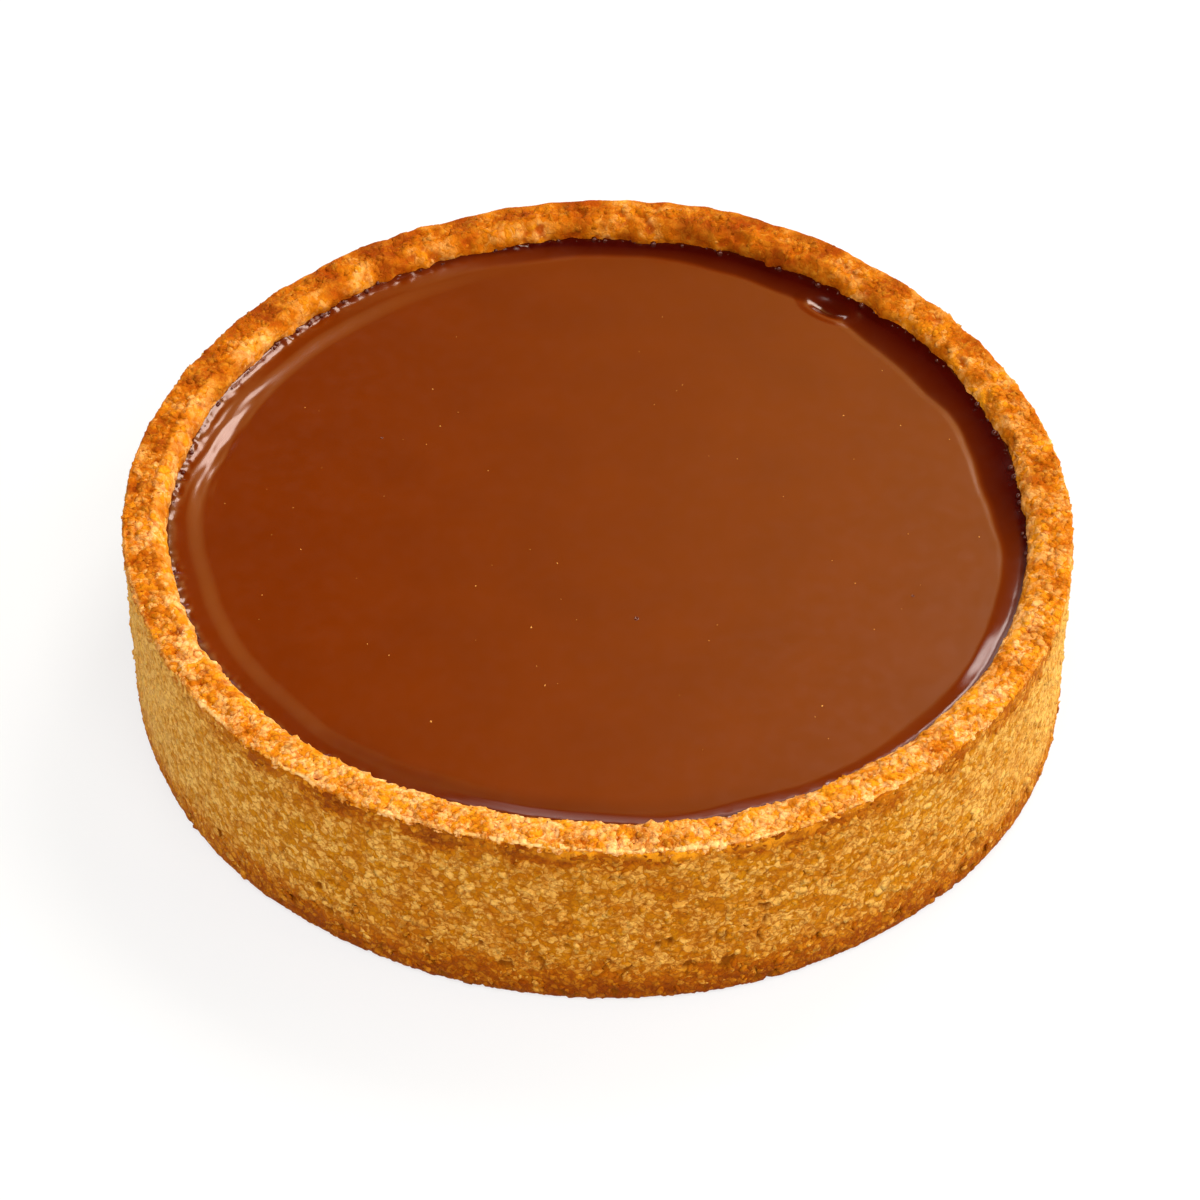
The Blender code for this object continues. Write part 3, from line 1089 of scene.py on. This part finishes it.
def add_light(name, azimuth, rise, away, width, height, radiance, colour):
    """A softbox that faces the tart; its power follows from the radiance of its face."""
    light = bpy.data.lights.new(name, "AREA")
    light.shape = "RECTANGLE"
    light.size = width
    light.size_y = height
    light.energy = radiance * math.pi * width * height
    light.color = colour
    lamp = bpy.data.objects.new(name, light)
    way = direction(azimuth, rise)
    lamp.location = way * away
    lamp.rotation_euler = way.to_track_quat("Z", "Y").to_euler()
    bpy.context.scene.collection.objects.link(lamp)


HORIZON = 1.5
SKY_TOP = 0.0
HORIZON_FADE = (0.02, 0.42)  # the heights between which the horizon's light fades to the top's
COLOUR_FADE = (0.3, 0.5)  # the heights between which white turns to the glow's colour
GLOW = 2.0
GLOW_WAY = (32, 42)
GLOW_COLOUR = (1.0, 0.78, 0.20, 1)
GLOW_EDGE = 0.887  # the cosine of how far from its middle the glow ends
WHITE = (1, 1, 1, 1)


def build_world():
    """Bright at the horizon, dark overhead, with a soft glow at the back right, as in a studio."""
    world = bpy.data.worlds.new("studio")
    bpy.context.scene.world = world
    nodes = Nodes(world, "Background", "Generated")
    height = nodes.add("ShaderNodeSeparateXYZ", {0: nodes.place}).outputs["Z"]
    low = nodes.spread(height, *HORIZON_FADE, HORIZON, SKY_TOP)
    inputs = {0: nodes.place, 1: direction(*GLOW_WAY)}
    towards = nodes.add("ShaderNodeVectorMath", inputs, operation="DOT_PRODUCT").outputs["Value"]
    glow = nodes.spread(towards, GLOW_EDGE, 1.0, 0.0, GLOW)
    colour = nodes.mix(nodes.spread(height, *COLOUR_FADE), WHITE, GLOW_COLOUR)
    nodes.finish({"Color": colour, "Strength": nodes.math("ADD", low, glow)})


def build_floor():
    mesh = bpy.data.meshes.new("floor")
    half = FLOOR_SIZE / 2
    corners = [(-half, -half, 0), (half, -half, 0), (half, half, 0), (-half, half, 0)]
    mesh.from_pydata(corners, [], [(0, 1, 2, 3)])
    nodes = material_nodes("pale_floor")
    looks = {"Base Color": FLOOR_COLOUR, "Roughness": 0.8}
    looks |= {"Emission Color": WHITE, "Emission Strength": FLOOR_GLOW}
    mesh.materials.append(nodes.finish(looks))
    floor = bpy.data.objects.new("floor", mesh)
    bpy.context.scene.collection.objects.link(floor)
    floor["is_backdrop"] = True


def build_camera():
    camera = bpy.data.cameras.new("camera")
    camera.lens = LENS
    camera.sensor_width = SENSOR
    holder = bpy.data.objects.new("camera", camera)
    way = Vector((0, -math.cos(CAMERA_RISE), math.sin(CAMERA_RISE)))
    holder.location = Vector((0, 0, AIM_HEIGHT)) + way * CAMERA_AWAY
    holder.rotation_euler = way.to_track_quat("Z", "Y").to_euler()
    bpy.context.scene.collection.objects.link(holder)
    bpy.context.scene.camera = holder


def main():
    rings = frame_rings()
    wall_looks = crust_material("baked_wall", WALL_COLOURS)
    rim_looks = crust_material("baked_rim", RIM_COLOURS)
    build_wall_flakes(build_wall(rings, wall_looks), wall_looks)
    build_rim_flakes(rings, build_rim(rings, rim_looks), rim_looks)
    chocolate_looks = chocolate_material()
    build_chocolate(rings, chocolate_looks)
    build_edge_beads(rings, chocolate_looks)
    build_burst_bubbles(chocolate_looks)
    build_stray_crumbs(rim_looks)
    build_floor()
    for row in LIGHTS:
        add_light(*row)
    build_world()
    build_camera()
    bpy.context.scene.view_settings.view_transform = "Standard"


def corners(bounds):
    return [list(corner) for corner in bounds]


main()
{"cad": corners(cad_box), "visual": corners(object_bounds())}
